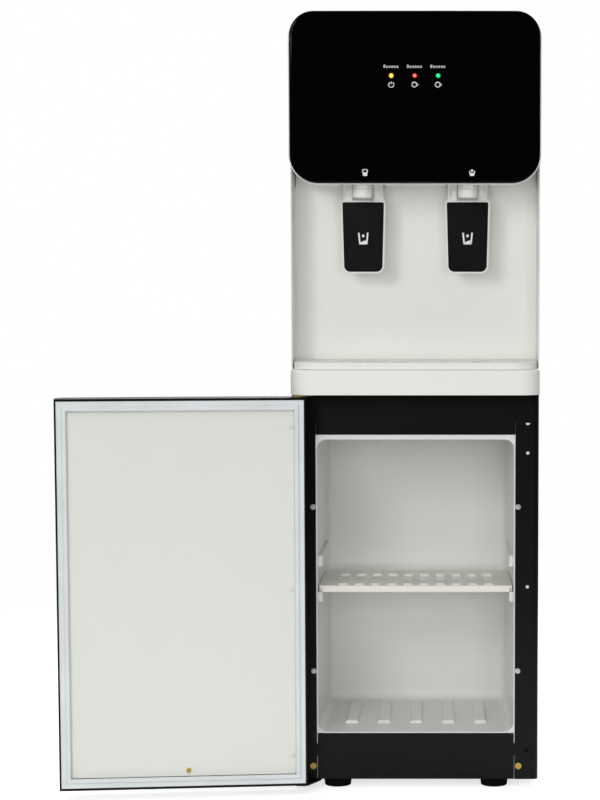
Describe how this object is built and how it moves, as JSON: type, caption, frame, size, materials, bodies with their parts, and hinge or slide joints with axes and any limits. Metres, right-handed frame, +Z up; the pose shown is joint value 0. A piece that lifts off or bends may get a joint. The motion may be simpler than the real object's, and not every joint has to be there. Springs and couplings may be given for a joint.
{
  "type": "water dispenser",
  "caption": "Free-standing water dispenser: gloss black head with lamps, push-lever taps over a drip tray, white alcove, and a storage cabinet with a gasketed swing door.",
  "frame": {"origin": "floor level under the middle of the steel cabinet's footprint", "axes": "+Z up, the front faces -Y, +X is the right-hand side seen from the front"},
  "size_m": [0.5985, 0.3934, 0.9715],
  "materials": {
    "black_steel": "semi-gloss black powder coat",
    "white_steel": "smooth white paint",
    "galvanised": "galvanised sheet",
    "white_abs": "fine satin moulded",
    "black_gloss": "high gloss",
    "black_satin": "satin moulded",
    "liner_white": "vacuum-formed satin",
    "shelf_cream": "satin moulded",
    "panel_cream": "vacuum-formed matt",
    "gasket_vinyl": "soft white vinyl",
    "black_rubber": "matt",
    "foam": "rigid foam",
    "yellow_zinc": "yellow zinc plate",
    "bright_zinc": "bright zinc plate",
    "stainless": "drawn stainless",
    "silicone": "translucent hose",
    "tank_plastic": "natural moulded",
    "board_green": "lacquered board",
    "nylon": "natural nylon",
    "lamp_amber": "lit lens",
    "lamp_red": "lit lens",
    "lamp_green": "lit lens",
    "rocker_red": "translucent key",
    "heater_grey": "clamped band"
  },
  "bodies": {
    "cabinet": {"side_panel_left": "black_steel", "side_panel_right": "black_steel", "upper_side_left": "white_steel", "upper_side_right": "white_steel", "rear_panel": "black_steel", "base_pan": "galvanised", "feet": "black_rubber", "top_rail": "black_steel", "deck_plate": "galvanised", "tank_bracket": "galvanised", "kick_plate": "black_steel", "cabinet_liner": "liner_white", "pan_screws": "bright_zinc", "brass_screws": "yellow_zinc", "hinge_bracket_top": "yellow_zinc", "hinge_bracket_bottom": "black_steel", "mid_panel": "white_abs", "lower_moulding": "white_abs", "head_housing": "white_abs", "head_panel": "black_gloss", "led_amber": "lamp_amber", "led_red": "lamp_red", "led_green": "lamp_green", "control_board": "board_green", "top_cover": "white_abs", "bottle_seat": "white_abs", "water_spike": "tank_plastic", "reservoir": "tank_plastic", "hot_tank": "stainless", "heater_band": "heater_grey", "thermostats": "heater_grey", "feed_hose": "silicone", "hot_hose": "silicone", "ambient_hose": "silicone", "drain_hose": "silicone", "drain_outlet": "black_satin", "tap_hot": "white_abs", "tap_ambient": "white_abs", "power_board": "board_green", "cord_inlet": "black_satin", "switch_bezel": "black_satin", "hot_spring": "bright_zinc", "ambient_spring": "bright_zinc"},
    "door": {"door_shell": "black_steel", "door_panel": "panel_cream", "door_gasket": "gasket_vinyl", "door_foam": "foam", "door_screws": "bright_zinc", "door_bushes": "nylon"},
    "hot_lever": {"hot_lever": "white_abs", "hot_paddle": "black_satin"},
    "ambient_lever": {"ambient_lever": "white_abs", "ambient_paddle": "black_satin"},
    "hot_valve": {"hot_stem": "nylon"},
    "ambient_valve": {"ambient_stem": "nylon"},
    "drip_tray": {"drip_tray": "white_abs"},
    "drip_grille": {"drip_grille": "white_abs"},
    "shelf": {"shelf": "shelf_cream"},
    "heating_rocker": {"heating_rocker": "rocker_red"},
    "drain_cap": {"drain_cap": "black_satin"}
  },
  "joints": [
    {"name": "door_swing", "type": "hinge", "parent": "cabinet", "child": "door", "pos_m": [-0.1455, -0.172, 0.2575], "axis": [0, 0, 1], "range_deg": [-4, 174]},
    {"name": "hot_lever_press", "type": "hinge", "parent": "cabinet", "child": "hot_lever", "pos_m": [-0.0653, -0.168, 0.7755], "axis": [1, 0, 0], "range_deg": [0, 12], "stiffness_Nm_per_rad": 0.4, "springref_deg": -8.59},
    {"name": "ambient_lever_press", "type": "hinge", "parent": "cabinet", "child": "ambient_lever", "pos_m": [0.0653, -0.168, 0.7755], "axis": [1, 0, 0], "range_deg": [0, 12], "stiffness_Nm_per_rad": 0.4, "springref_deg": -8.59},
    {"name": "hot_valve_lift", "type": "slide", "parent": "cabinet", "child": "hot_valve", "axis": [0, 0, 1], "range_m": [0, 0.0051], "deforming": ["hot_spring"]},
    {"name": "ambient_valve_lift", "type": "slide", "parent": "cabinet", "child": "ambient_valve", "axis": [0, 0, 1], "range_m": [0, 0.0051], "deforming": ["ambient_spring"]},
    {"name": "tray_lift", "type": "slide", "parent": "cabinet", "child": "drip_tray", "axis": [0, 0, 1], "range_m": [0, 0.05]},
    {"name": "grille_lift", "type": "slide", "parent": "drip_tray", "child": "drip_grille", "axis": [0, 0, 1], "range_m": [0, 0.03]},
    {"name": "shelf_slide", "type": "slide", "parent": "cabinet", "child": "shelf", "axis": [0, 1, 0], "range_m": [-0.15, 0]},
    {"name": "heating_switch", "type": "hinge", "parent": "cabinet", "child": "heating_rocker", "pos_m": [0.1, 0.1455, 0.5967], "axis": [1, 0, 0], "range_deg": [0, 16]},
    {"name": "drain_cap_pull", "type": "slide", "parent": "cabinet", "child": "drain_cap", "axis": [0, 1, 0], "range_m": [0, 0.03]}
  ],
  "couplings": [
    {"joint": "hot_valve_lift", "follows": "hot_lever_press", "m_per_rad": 0.023873},
    {"joint": "ambient_valve_lift", "follows": "ambient_lever_press", "m_per_rad": 0.023873}
  ]
}
